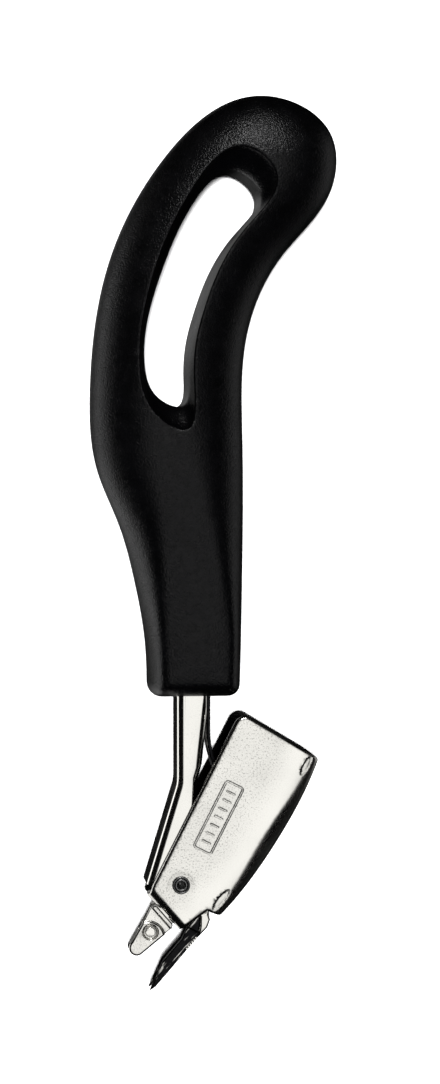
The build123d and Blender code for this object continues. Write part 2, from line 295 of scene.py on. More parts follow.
UNDER_Y = (-0.02, 0.06)
UNDER_LEVEL = 0.4
DARK_LEVEL = 0.002

# Lamps, in metres and watts. LAMP is the one seen in the grip's gloss above the loop. FILL is
# almost overhead and lights the floor and the dull parts, and no gloss shows it
LAMP_AT = (-0.04, 0.78, 0.73)
LAMP_SIZE = 0.3
LAMP_POWER = 3.5
FILL_AT = (-0.157, 0.055, 1.4)
FILL_SIZE = 0.16
FILL_POWER = 40.0


# --- helpers -------------------------------------------------------------------------------

def at(x, y, z=0.0):
    """A point about the pivot, in the row's metres."""
    return PIVOT + Vector((x, y, z)) * MM


def smoothstep(low, high, value):
    """0 up to low, 1 from high on, and an even ease between."""
    t = np.clip((value - low) / (high - low), 0, 1)
    return t * t * (3 - 2 * t)


def cubic_curve(points, per_span, closed):
    """Points along the cubic spline that passes through the given ones."""
    knots = np.array(points, float)
    if closed:
        knots = np.vstack([knots, knots[:1]])
    step = np.linalg.norm(np.diff(knots, axis=0), axis=1)
    last = len(knots) - 1
    matrix = np.zeros((last + 1, last + 1))
    rhs = np.zeros((last + 1, 2))
    slope = np.diff(knots, axis=0) / step[:, None]
    for i in range(1, last):
        matrix[i, i - 1:i + 2] = (step[i - 1], 2 * (step[i - 1] + step[i]), step[i])
        rhs[i] = 6 * (slope[i] - slope[i - 1])
    if closed:
        matrix[0, [0, 1, last - 1]] = (2 * (step[-1] + step[0]), step[0], step[-1])
        rhs[0] = 6 * (slope[0] - slope[-1])
        matrix[last, [0, last]] = (1, -1)
    else:
        matrix[0, 0] = 1
        matrix[last, last] = 1
    bend = np.linalg.solve(matrix, rhs)
    out = []
    for i in range(last):
        h = step[i]
        for t in np.linspace(0, h, per_span, endpoint=False):
            a = bend[i] * (h - t) ** 3 / (6 * h) + bend[i + 1] * t ** 3 / (6 * h)
            b = (knots[i] / h - bend[i] * h / 6) * (h - t)
            c = (knots[i + 1] / h - bend[i + 1] * h / 6) * t
            out.append(a + b + c)
    if not closed:
        out.append(knots[-1])
    return np.array(out)


def resample(loop, spacing):
    """A closed polyline with its points evenly spread."""
    ring = np.vstack([loop, loop[:1]])
    run = np.concatenate([[0], np.cumsum(np.linalg.norm(np.diff(ring, axis=0), axis=1))])
    count = int(round(run[-1] / spacing))
    places = np.linspace(0, run[-1], count, endpoint=False)
    return np.column_stack([np.interp(places, run, ring[:, k]) for k in (0, 1)])


def distance_to(points, loop):
    """Distance from each point to a closed polyline."""
    a = loop
    d = np.roll(loop, -1, axis=0) - a
    length = (d ** 2).sum(1)
    best = np.full(len(points), 1e9)
    for start in range(0, len(points), 2000):
        p = points[start:start + 2000, None, :]
        t = np.clip(((p - a) * d).sum(2) / length, 0, 1)
        gap = np.linalg.norm(p - a - t[..., None] * d, axis=2)
        best[start:start + 2000] = gap.min(1)
    return best


def inside(points, loop):
    """Which points lie within a closed polyline."""
    x, y = points[:, 0:1], points[:, 1:2]
    x0, y0 = loop[:, 0], loop[:, 1]
    x1, y1 = np.roll(x0, -1), np.roll(y0, -1)
    crosses = (y0 > y) != (y1 > y)
    side = (x1 - x0) * (y - y0) / np.where(y1 == y0, 1e-9, y1 - y0) + x0
    return ((crosses & (x < side)).sum(1) % 2) == 1


def bearing(point, centre):
    """The direction from a centre to a point, in radians."""
    return math.atan2(*(point - centre)[::-1])


def ring_edges(first, count):
    """The edges of a closed ring of points, numbered from the first."""
    return [(first + i, first + (i + 1) % count) for i in range(count)]


def flat_mesh(points, edges):
    """A flat triangle mesh that keeps the edges: its points, its faces and their middles."""
    flat, _, faces, *_ = delaunay_2d_cdt([Vector(p) for p in points], edges, [], 1, 1e-5)
    flat = np.array([(v.x, v.y) for v in flat])
    return flat, faces, np.array([flat[list(f)].mean(0) for f in faces])


def bridge(bm, rows):
    """Faces between each closed row of vertices and the next."""
    for upper, lower in zip(rows, rows[1:]):
        for i in range(len(upper)):
            j = (i + 1) % len(upper)
            bm.faces.new((upper[i], upper[j], lower[j], lower[i]))


def new_piece(name, bm, material, body, smooth_deg=180.0):
    """A mesh object from a bmesh in the row's metres, riding on a body if one is given."""
    mesh = bpy.data.meshes.new(name)
    bm.to_mesh(mesh)
    bm.free()
    for face in mesh.polygons:
        face.use_smooth = True
    if smooth_deg < 180:
        mesh.set_sharp_from_angle(angle=math.radians(smooth_deg))
    piece = bpy.data.objects.new(name, mesh)
    bpy.context.scene.collection.objects.link(piece)
    mesh.materials.append(material)
    if body:
        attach(piece, body)
    return piece


def bake_modifiers(piece):
    """Turns a piece's modifiers into plain mesh."""
    graph = bpy.context.evaluated_depsgraph_get()
    mesh = bpy.data.meshes.new_from_object(piece.evaluated_get(graph))
    piece.modifiers.clear()
    piece.data = mesh


def edge_break(edge, node):
    """How far an edge is broken, as a share of its piece's width: the channel's free lips roll most."""
    turn = math.degrees(edge.calc_face_angle(0.0))
    if not SOFTEST_EDGE < turn < SHARPEST_EDGE:
        return 0.0
    if node != "shank":
        return 1.0
    middle = ((edge.verts[0].co + edge.verts[1].co) / 2 - PIVOT) / MM
    if abs(middle.z) < SHANK_HALF - 0.1 or edge.calc_length() < SHORTEST_EDGE * MM:
        return 0.0
    return 1.0 if middle.y > ROLLED_FROM_Y else SLIGHT_BREAK


def pressed_copy(name, node, material, width):
    """A CAD node's shape again, its square edges broken as a press or a file leaves them."""
    bm = bmesh.new()
    bm.from_mesh(frame["nodes"][node].data)
    bmesh.ops.remove_doubles(bm, verts=bm.verts, dist=SHEET_WELD_M)
    bmesh.ops.dissolve_limit(bm, angle_limit=math.radians(FLAT_DEG), verts=bm.verts, edges=bm.edges)
    body = frame["nodes"][node]["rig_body"]
    weight = bm.edges.layers.float.new("bevel_weight_edge")
    for edge in bm.edges:
        edge[weight] = edge_break(edge, node)
    piece = new_piece(name, bm, material, None)
    bevel = piece.modifiers.new("break", "BEVEL")
    bevel.width = width * MM
    bevel.segments = 3
    bevel.limit_method = "WEIGHT"
    bevel.use_clamp_overlap = False
    bake_modifiers(piece)
    bm = bmesh.new()
    bm.from_mesh(piece.data)
    bmesh.ops.triangulate(bm, faces=bm.faces)
    bmesh.ops.remove_doubles(bm, verts=bm.verts, dist=WELD * MM)
    bm.to_mesh(piece.data)
    bm.free()
    even = piece.modifiers.new("even", "WEIGHTED_NORMAL")
    even.weight = 100
    bake_modifiers(piece)
    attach(piece, body)
    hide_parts(node)
    return piece


# --- materials -----------------------------------------------------------------------------

def math_node(nodes, links, operation, *values):
    node = nodes.new("ShaderNodeMath")
    node.operation = operation
    for socket, value in zip(node.inputs, values):
        if isinstance(value, (int, float)):
            socket.default_value = value
        else:
            links.new(value, socket)
    return node.outputs["Value"]


def material(name, colour, rough, metallic):
    """A Principled material, with its nodes, links and shader to build patterns on."""
    mat = bpy.data.materials.new(name)
    mat.use_nodes = True
    shader = mat.node_tree.nodes["Principled BSDF"]
    shader.inputs["Base Color"].default_value = (*colour, 1)
    shader.inputs["Roughness"].default_value = rough
    shader.inputs["Metallic"].default_value = metallic
    return mat, mat.node_tree.nodes, mat.node_tree.links, shader


def noise(nodes, links, scale, detail=4.0, coords=None):
    node = nodes.new("ShaderNodeTexNoise")
    node.inputs["Scale"].default_value = scale
    node.inputs["Detail"].default_value = detail
    if coords is None:
        coords = nodes.new("ShaderNodeTexCoord").outputs["Object"]
    links.new(coords, node.inputs["Vector"])
    return node.outputs["Fac"]


def remap(nodes, links, value, from_range, to_range):
    node = nodes.new("ShaderNodeMapRange")
    node.inputs["From Min"].default_value = from_range[0]
    node.inputs["From Max"].default_value = from_range[1]
    node.inputs["To Min"].default_value = to_range[0]
    node.inputs["To Max"].default_value = to_range[1]
    links.new(value, node.inputs["Value"])
    return node.outputs["Result"]


def ramp(nodes, links, value, stops):
    node = nodes.new("ShaderNodeValToRGB")
    while len(node.color_ramp.elements) < len(stops):
        node.color_ramp.elements.new(0.5)
    for element, (place, colour) in zip(node.color_ramp.elements, stops):
        element.position = place
        element.color = (*colour, 1)
    links.new(value, node.inputs["Fac"])
    return node.outputs["Color"]


def bump(nodes, links, shader, layers):
    """Bump layers, each (height socket, distance in mm, strength), onto the shader's normal."""
    normal = None
    for height, distance, strength in layers:
        node = nodes.new("ShaderNodeBump")
        node.inputs["Distance"].default_value = distance * MM
        node.inputs["Strength"].default_value = strength
        links.new(height, node.inputs["Height"])
        if normal is not None:
            links.new(normal, node.inputs["Normal"])
        normal = node.outputs["Normal"]
    links.new(normal, shader.inputs["Normal"])


def attribute(nodes, name):
    node = nodes.new("ShaderNodeAttribute")
    node.attribute_name = name
    return node.outputs["Fac"]


def blend_colours(nodes, links, share, first, second):
    node = nodes.new("ShaderNodeMix")
    node.data_type = "RGBA"
    links.new(share, node.inputs["Factor"])
    for socket, value in zip((node.inputs[6], node.inputs[7]), (first, second)):
        if isinstance(value, tuple):
            socket.default_value = (*value, 1)
        else:
            links.new(value, socket)
    return node.outputs[2]


def grip_plastic():
    """Black moulded plastic with a spark-eroded grain and a faint parting line."""
    mat, nodes, links, shader = material("grip_plastic", (0.0005, 0.0005, 0.0005), 0.31, 0.0)
    shader.inputs["Specular IOR Level"].default_value = 0.4
    grain = noise(nodes, links, scale=3000.0, detail=1.0)
    mottle = noise(nodes, links, scale=260.0, detail=5.0)
    colour = ramp(nodes, links, mottle, list(zip(NOISE_SPAN, GRIP_BLACKS)))
    links.new(colour, shader.inputs["Base Color"])
    links.new(remap(nodes, links, mottle, NOISE_SPAN, GRIP_ROUGH), shader.inputs["Roughness"])
    split = nodes.new("ShaderNodeSeparateXYZ")
    links.new(nodes.new("ShaderNodeTexCoord").outputs["Object"], split.inputs["Vector"])
    level = math_node(nodes, links, "COMPARE", split.outputs["Z"], PIVOT.z, PARTING_HALF * MM)
    bump(nodes, links, shader, [(grain, GRAIN_DEPTH, 1.0), (level, PARTING_DEPTH, 0.5)])
    return mat


def plated_steel(name, rough, pebble_scale, pebble_depth, speckle):
    """Nickel over pressed steel: a pebbled skin with small dark pits and hazy patches."""
    mat, nodes, links, shader = material(name, NICKEL, rough, 1.0)
    pebble = noise(nodes, links, pebble_scale, detail=2.5)
    haze = noise(nodes, links, scale=90.0, detail=3.0)
    pits = noise(nodes, links, pebble_scale * 1.7, detail=1.5)
    dark = tuple(c * speckle for c in NICKEL)
    links.new(ramp(nodes, links, pits, [(0.3, dark), (0.42, NICKEL)]), shader.inputs["Base Color"])
    hazy = remap(nodes, links, haze, NOISE_SPAN, (rough * 0.85, rough * 1.2))
    links.new(hazy, shader.inputs["Roughness"])
    bump(nodes, links, shader, [(pebble, pebble_depth, 0.6)])
    return mat


def cover_steel():
    """Nickel over pressed sheet: speckled, rubbed smooth towards the back, and its inner faces darkened
    as painted shade.
    """
    mat, nodes, links, shader = material("cover_steel", NICKEL, 0.2, 1.0)
    polish = attribute(nodes, "polish")
    pits = noise(nodes, links, scale=3000.0, detail=2.0)
    dust = tuple(c * COVER_DUST for c in NICKEL)
    dark = tuple(c * COVER_PITS for c in NICKEL)
    speckled = ramp(nodes, links, pits, [(0.32, dark), (0.44, dust), (0.62, NICKEL)])
    skin = blend_colours(nodes, links, polish, speckled, NICKEL)
    # Inner faces get the dark colour: painted shade for the channel's shadowed inside
    links.new(blend_colours(nodes, links, attribute(nodes, "inside"), skin, PAINTED_INNER_SHADE),
              shader.inputs["Base Color"])
    patches = noise(nodes, links, scale=120.0, detail=3.0)
    haze = remap(nodes, links, patches, NOISE_SPAN, COVER_HAZE)
    worn = math_node(nodes, links, "MULTIPLY", attribute(nodes, "worn"), WORN_ROUGHER)
    smooth = math_node(nodes, links, "MULTIPLY", polish, POLISH_SMOOTHER)
    level = math_node(nodes, links, "SUBTRACT", math_node(nodes, links, "ADD", haze, worn), smooth)
    links.new(level, shader.inputs["Roughness"])
    pebble = math_node(nodes, links, "MULTIPLY", noise(nodes, links, scale=2400.0, detail=2.0),
                       math_node(nodes, links, "SUBTRACT", 1.0, polish))
    bump(nodes, links, shader, [(pebble, COVER_PEBBLE, 0.8)])
    return mat


def dark_steel(name, colour, rough, streak_deg=-42.8, streak=0.0):
    """Hardened, blackened steel: lengthwise grinding marks, some rubbed through to bright metal."""
    mat, nodes, links, shader = material(name, colour, rough, 1.0)
    stretch = nodes.new("ShaderNodeMapping")
    stretch.vector_type = "TEXTURE"
    stretch.inputs["Rotation"].default_value = (0, 0, math.radians(streak_deg))
    stretch.inputs["Scale"].default_value = (1.0, GRIND_STRETCH, 1.0)
    links.new(nodes.new("ShaderNodeTexCoord").outputs["Object"], stretch.inputs["Vector"])
    marks = noise(nodes, links, scale=2200.0, detail=2.0, coords=stretch.outputs["Vector"])
    rubbed = noise(nodes, links, scale=700.0, detail=5.0)
    bright = tuple(c + streak * (n - c) for c, n in zip(colour, NICKEL))
    links.new(ramp(nodes, links, marks, [(0.6, colour), (0.68, bright)]), shader.inputs["Base Color"])
    uneven = remap(nodes, links, rubbed, NOISE_SPAN, (rough * 0.7, rough * 1.3))
    links.new(uneven, shader.inputs["Roughness"])
    bump(nodes, links, shader, [(marks, GRIND_DEPTH, 0.5), (rubbed, RUB_DEPTH, 0.5)])
    return mat


# --- grip ----------------------------------------------------------------------------------

def grip_outline():
    """The grip's closed outline at its widest, anticlockwise seen from above."""
    side = cubic_curve([(FOOT_LEFT_X, FOOT_Y), *GRIP_PTS, (FOOT_RIGHT_X, FOOT_Y)], 24, False)
    side = side[side[:, 1] > FOOT_Y + FOOT_CORNER_R]
    left_x = side[0, 0] + FOOT_CORNER_R
    right_x = side[-1, 0] - FOOT_CORNER_R
    turn = np.radians(np.linspace(0, 90, 12))
    low = FOOT_Y + FOOT_CORNER_R
    right = np.column_stack([right_x + FOOT_CORNER_R * np.cos(turn), low - FOOT_CORNER_R * np.sin(turn)])
    left = np.column_stack([left_x - FOOT_CORNER_R * np.sin(turn), low - FOOT_CORNER_R * np.cos(turn)])
    return resample(np.vstack([side, right, left])[::-1], OUTLINE_STEP)


def inset(loop, distance):
    """The part of a loop's offset to its left that keeps its full distance."""
    along = np.roll(loop, -1, axis=0) - np.roll(loop, 1, axis=0)
    along /= np.linalg.norm(along, axis=1)[:, None]
    moved = loop + distance * np.column_stack([-along[:, 1], along[:, 0]])
    return moved[distance_to(moved, loop) > distance - 0.03]


def crown(points, outline):
    """Height of the grip's skin above its middle plane, from the distance to its outline."""
    up = smoothstep(*EDGE_BLEND_Y, points[:, 1])
    reach, power, rise = [low + (high - low) * up for low, high in zip(EDGE_LOW, EDGE_LOOP)]
    depth = distance_to(points, outline)
    depth[depth < ON_OUTLINE] = 0
    share = np.clip(depth / reach, 0, 1)
    top = HALF_THICK - rise * (1 - np.clip(depth / CROWN_REACH, 0, 1)) ** 2
    return top * (1 - (1 - share) ** power) ** (1 / power)


def grip():
    """One smooth moulding: rounded skin on both sides and the scooped wall of the finger loop."""
    outline = grip_outline()
    rim = cubic_curve(LOOP_RIM_PTS, 26, True)
    waist = cubic_curve(LOOP_WAIST_PTS, 26, True)
    rings = [outline] + [inset(outline, d) for d in EDGE_RINGS]
    rim_out = rim if turns_left(rim) else rim[::-1]
    rim_rings = [rim] + [inset(rim_out[::-1], d) for d in RIM_RINGS]
    low, high = outline.min(0), outline.max(0)
    grid = np.array([(x, y) for x in np.arange(low[0], high[0], GRID_STEP)
                     for y in np.arange(low[1], high[1], GRID_STEP)])
    grid = grid[inside(grid, outline) & ~inside(grid, rim)]
    grid = grid[(distance_to(grid, outline) > EDGE_RINGS[-1] + GRID_OFF_RINGS)
                & (distance_to(grid, rim) > GRID_OFF_RIM)]
    outer = np.vstack(rings)
    inner = [r[distance_to(r, outline) > RIM_OFF_OUTLINE] for r in rim_rings[1:]]
    points = np.vstack([outer, rim_rings[0], *inner, grid])
    edges = ring_edges(0, len(outline)) + ring_edges(len(outer), len(rim))
    flat, faces, middles = flat_mesh(points, edges)
    keep = inside(middles, outline) & ~inside(middles, rim)
    height = crown(flat, outline)
    off_rim = distance_to(flat, rim)
    off_rim[off_rim < ON_OUTLINE] = 0
    near = np.clip(off_rim / LOOP_RIM_ROUND, 0, 1)
    height -= LOOP_RIM_ROUND * (1 - np.sqrt(1 - (1 - near) ** 2))
    rim_height = crown(rim, outline) - LOOP_RIM_ROUND
    bm = bmesh.new()
    for side in (1, -1):
        verts = [bm.verts.new(at(p[0], p[1], side * h)) for p, h in zip(flat, height)]
        for face, good in zip(faces, keep):
            if good:
                bm.faces.new([verts[i] for i in (face if side > 0 else face[::-1])])
        add_wall(bm, rim, waist, rim_height * side)
    bmesh.ops.remove_doubles(bm, verts=bm.verts, dist=WELD * MM)
    bmesh.ops.recalc_face_normals(bm, faces=bm.faces)
    piece = new_piece("grip", bm, MATERIALS["grip_plastic"], "lever", smooth_deg=48.0)
    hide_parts("handle")


def turns_left(loop):
    """Whether a closed polyline runs anticlockwise."""
    x, y = loop[:, 0], loop[:, 1]
    return (x * np.roll(y, -1) - np.roll(x, -1) * y).sum() > 0


def add_wall(bm, rim, waist, rim_height):
    """The loop's wall on one side: a flare from the rim in to the straight middle band."""
    band = math.copysign(LOOP_BAND_HALF, rim_height[0])
    rows = []
    for k in range(LOOP_WALL_STEPS + 1):
        s = k / LOOP_WALL_STEPS
        flat = rim + (waist - rim) * math.sin(s * math.pi / 2) ** LOOP_FLARE
        rows.append([bm.verts.new(at(p[0], p[1], h + (band - h) * s)) for p, h in zip(flat, rim_height)])
    for share in LOOP_BAND_ROWS:
        rows.append([bm.verts.new(at(p[0], p[1], band * share)) for p in waist])
    bridge(bm, rows)


# --- metal pieces --------------------------------------------------------------------------

def lip_axes():
    """The cover's lip edge: the directions along it and in from it."""
    along = (CORNER_TOE - CORNER_LOW) / np.linalg.norm(CORNER_TOE - CORNER_LOW)
    return along, np.array((-along[1], along[0]))


def unit(vector):
    return np.array(vector) / np.linalg.norm(vector)


def bend_over(flat, start, out, radius, most=math.pi / 2):
    """Rolls the part of a flat sheet beyond a line: how far out and down it goes, and its lean."""
    past = np.clip(start, 0, None)
    turn = np.clip(past / radius, 0, most)
    straight = np.clip(past - radius * most, 0, None)
    shift = (radius * np.sin(turn) + straight * math.cos(most) - past)[:, None] * out
    return flat + shift, radius * (1 - np.cos(turn)) + straight * math.sin(most), turn


def back_bend(angle):
    """Radius of the back's bend, which swells between the back's two ends."""
    low, high = (bearing(p, BACK_CENTRE) for p in (CORNER_TAB, CORNER_BACK))
    share = np.clip((angle - low) / (high - low), 0, 1)
    return BACK_BEND_R + BACK_BEND_SWELL * np.sin(math.pi * share) ** 2


def cover_surface(blank):
    """Points of the flat blank carried onto the pressed outer skin, with the skin's normals."""
    spoke = blank - BACK_CENTRE
    rho = np.linalg.norm(spoke, axis=1)
    out = spoke / rho[:, None]
    radius = back_bend(np.arctan2(spoke[:, 1], spoke[:, 0]))
    flat, drop, turn = bend_over(blank, rho - (BACK_R - radius), out, radius)
    _, up = lip_axes()
    w = (blank - CORNER_LOW) @ up
    lip_out = np.tile(-up, (len(blank), 1))
    flat, lip_drop, lip_turn = bend_over(flat, LIP_BEND_W - w, lip_out, LIP_BEND_R, LIP_TURN)
    lean = out * np.sin(turn)[:, None] + lip_out * np.sin(lip_turn)[:, None]
    normal = np.column_stack([lean, np.cos(turn) * np.cos(lip_turn)])
    normal /= np.linalg.norm(normal, axis=1)[:, None]
    return np.column_stack([flat, HEAD_HALF - drop - lip_drop]), normal


def on_back(rho, angle):
    """A point by its distance and direction from the back's centre."""
    return BACK_CENTRE + rho * np.array((math.cos(angle), math.sin(angle)))


def back_end(corner, inner):
    """The blank's edge across the back's bend, as cut square to the middle plane: from in to out."""
    start = BACK_R - BACK_BEND_R
    run = corner - inner
    points = []
    for turn in np.linspace(0, math.pi / 2, 10):
        rho = start + BACK_BEND_R * math.sin(turn)
        low, high = 0.0, 1.0
        for _ in range(30):
            middle = (low + high) / 2
            short = np.linalg.norm(inner + run * middle - BACK_CENTRE) < rho
            low, high = (middle, high) if short else (low, middle)
        place = inner + run * low
        points.append(on_back(start + BACK_BEND_R * turn, bearing(place, BACK_CENTRE)))
    wall = start + BACK_BEND_R * math.pi / 2
    rise = HEAD_HALF - BACK_BEND_R
    points += [on_back(wall + rise * k / 4, bearing(corner, BACK_CENTRE)) for k in range(1, 5)]
    return points


def lip_edge(height):
    """How far the lip's blank reaches for it to end at a height above the middle plane."""
    drop = HEAD_HALF - height
    rolled = LIP_BEND_R * (1 - math.cos(LIP_TURN))
    if drop > rolled:
        return LIP_BEND_W - LIP_BEND_R * LIP_TURN - (drop - rolled) / math.sin(LIP_TURN)
    return LIP_BEND_W - LIP_BEND_R * math.acos(1 - drop / LIP_BEND_R)


def blank_outline():
    """The near half of the cover's flat blank: its cut edges, then the seam along the back."""
    along, up = lip_axes()
    length = np.linalg.norm(CORNER_TOE - CORNER_LOW)
    left_slope = (CORNER_HIGH - CORNER_LOW) @ along / ((CORNER_HIGH - CORNER_LOW) @ up)

    def spot(u, w):
        return CORNER_LOW + u * along + w * up

    toe = unit(NOTCH - CORNER_TOE)
    toe_slope = toe @ along / (toe @ up)
    free, stop, key = lip_edge(LIP_FREE_Z), lip_edge(LIP_STOP_Z), lip_edge(HEAD_HALF - SHEET)
    toe_edge = lip_edge(LIP_TOE_Z)
    turns = np.linspace(0, LIP_TURN, 7)
    turn_in = LIP_BEND_W - LIP_BEND_R * np.sin(turns)
    blank_w = LIP_BEND_W - LIP_BEND_R * turns
    left = [spot(left_slope * w, b) for w, b in zip(turn_in, blank_w)] + [spot(0, stop)]
    lip = [spot(u, w) for u, w in (
        (LIP_STOP_LEN, stop), (LIP_STOP_LEN, free), (LIP_KEY[0], free), (LIP_KEY[0], key),
        (LIP_KEY[1], key), (LIP_KEY[1], free), (length - LIP_TOE_LEN, free),
        (length - LIP_TOE_LEN, toe_edge), (length, toe_edge))]
    right = [spot(length + toe_slope * w, b) for w, b in zip(turn_in, blank_w)][::-1]
    down = unit(CORNER_LOW - CORNER_HIGH)
    side = unit(CORNER_BACK - CORNER_HIGH)
    half = math.acos(down @ side) / 2
    centre = CORNER_HIGH + unit(down + side) * CORNER_HIGH_R / math.sin(half)
    first = CORNER_HIGH + side * CORNER_HIGH_R / math.tan(half)
    last = CORNER_HIGH + down * CORNER_HIGH_R / math.tan(half)
    a0, a1 = (bearing(p, centre) for p in (first, last))
    a1 += 2 * math.pi * round((a0 - a1) / (2 * math.pi))
    arc = [centre + CORNER_HIGH_R * np.array((math.cos(a), math.sin(a)))
           for a in np.linspace(a0, a1, 12)]
    top = back_end(CORNER_BACK, first)[::-1]
    tab = back_end(CORNER_TAB, NOTCH)
    cut = refine(np.array([*top, *arc, *left, *lip, *right, NOTCH, *tab]), CUT_STEP)
    a0, a1 = (bearing(p, BACK_CENTRE) for p in (cut[-1], cut[0]))
    seam = [on_back(BACK_R + HEAD_HALF - (2 - math.pi / 2) * back_bend(a), a)
            for a in np.linspace(a0, a1, SEAM_POINTS)]
    return cut, np.array(seam[1:-1])


def refine(line, spacing):
    """An open polyline with its long spans divided."""
    out = [line[0]]
    for a, b in zip(line, line[1:]):
        count = max(1, int(math.ceil(np.linalg.norm(b - a) / spacing)))
        out += [a + (b - a) * k / count for k in range(1, count + 1)]
    return np.array(out)


def distance_open(points, line):
    """Distance from each point to an open polyline."""
    a, d = line[:-1], np.diff(line, axis=0)
    t = np.clip(((points[:, None, :] - a) * d).sum(2) / np.maximum((d ** 2).sum(1), 1e-12), 0, 1)
    return np.linalg.norm(points[:, None, :] - a - t[..., None] * d, axis=2).min(1)


def panel_frame(points):
    """Points in the panel's own axes: along it and across it."""
    along = unit(CORNER_HIGH - CORNER_LOW)
    move = points - np.array(PANEL_AT)
    return np.column_stack([move @ along, move @ np.array((along[1], -along[0]))])


def pressed_marks(blank):
    """How far the press pushes the near skin in or out: the panel's border, its ribs and the dents."""
    p = panel_frame(blank)
    q = np.abs(p) - (np.array(PANEL_HALF) - PANEL_CORNER_R)
    edge = np.linalg.norm(np.clip(q, 0, None), axis=1) + np.minimum(q.max(1), 0) - PANEL_CORNER_R
    push = -PANEL_DEPTH * np.exp(-(edge / PANEL_LINE) ** 4)
    across = np.clip((RIB_HALF_LEN - np.abs(p[:, 1])) / PANEL_LINE, 0, 1)
    for place in np.linspace(-PANEL_HALF[0], PANEL_HALF[0], PANEL_RIBS + 2)[1:-1]:
        push -= PANEL_DEPTH * across * np.exp(-((p[:, 0] - place) / PANEL_LINE) ** 4)
    for centre, direction, half_long, half_wide, depth in DENTS:
        axis = unit(direction)
        move = blank - np.array(centre)
        over = move @ np.array((axis[1], -axis[0]))
        share = (move @ axis / half_long) ** 2 + (over / half_wide) ** 2
        push -= depth * smoothstep(0, 0.45, 1 - share)
    away = np.hypot(blank[:, 0], blank[:, 1])
    return push - DISH_DEPTH * np.exp(-(away / DISH_R) ** 6)


def cover_points(cut, seam):
    """Points that the blank's mesh needs: near its cuts, over its bends, and round its marks."""
    loop = np.vstack([cut, seam])
    low, high = loop.min(0), loop.max(0)
    along, up = lip_axes()
    length = np.linalg.norm(CORNER_TOE - CORNER_LOW)
    points = [np.array([(x, y) for x in np.arange(low[0], high[0], COVER_STEP)
                        for y in np.arange(low[1], high[1], COVER_STEP)])]
    a0, a1 = (bearing(p, BACK_CENTRE) for p in (cut[-1], cut[0]))
    for turn in np.linspace(0, math.pi / 2, BACK_ROWS):
        row = [on_back(BACK_R + (turn - 1) * back_bend(a), a)
               for a in np.linspace(a0 - BACK_OVERRUN, a1 + BACK_OVERRUN, BACK_COLUMNS)]
        points.append(np.array(row))
    for w in LIP_BEND_W - LIP_BEND_R * np.linspace(0, LIP_TURN + LIP_OVERRUN, LIP_ROWS):
        row = [CORNER_LOW + u * along + w * up for u in np.arange(-0.6, length + 0.2, LIP_STEP)]
        points.append(np.array(row))
    keep_off = [distance_open(p, cut) > CUT_ROUND + 0.15 for p in points]
    points = [p[k] for p, k in zip(points, keep_off)]
    spans = [np.arange(-half - PANEL_MARGIN, half + PANEL_MARGIN, PANEL_STEP) for half in PANEL_HALF]
    fine = np.array([(x, y) for x in spans[0] for y in spans[1]])
    slant = unit(CORNER_HIGH - CORNER_LOW)
    panel = np.array(PANEL_AT) + fine[:, :1] * slant + fine[:, 1:] * np.array((slant[1], -slant[0]))
    dents = []
    for centre, direction, half_long, half_wide, _ in DENTS:
        axis = unit(direction)
        for ring in DENT_RINGS:
            turn = np.linspace(0, 2 * math.pi, 26, endpoint=False)
            dents.append(np.array(centre) + ring * half_long * np.cos(turn)[:, None] * axis
                         + ring * half_wide * np.sin(turn)[:, None] * np.array((axis[1], -axis[0])))
    near_cut = []
    for step in CUT_RINGS:
        move = inset(loop if turns_left(loop) else loop[::-1], step)
        near_cut.append(move[distance_open(move, cut) < step + 0.02])
    dense = np.vstack([panel, *dents])
    others = np.vstack(points)
    in_panel = np.abs(panel_frame(others))
    others = others[(in_panel > np.array(PANEL_HALF) + PANEL_ROOM).any(1)]
    dense = dense[distance_open(dense, cut) > CUT_ROUND]
    return np.vstack([others, dense, *near_cut])


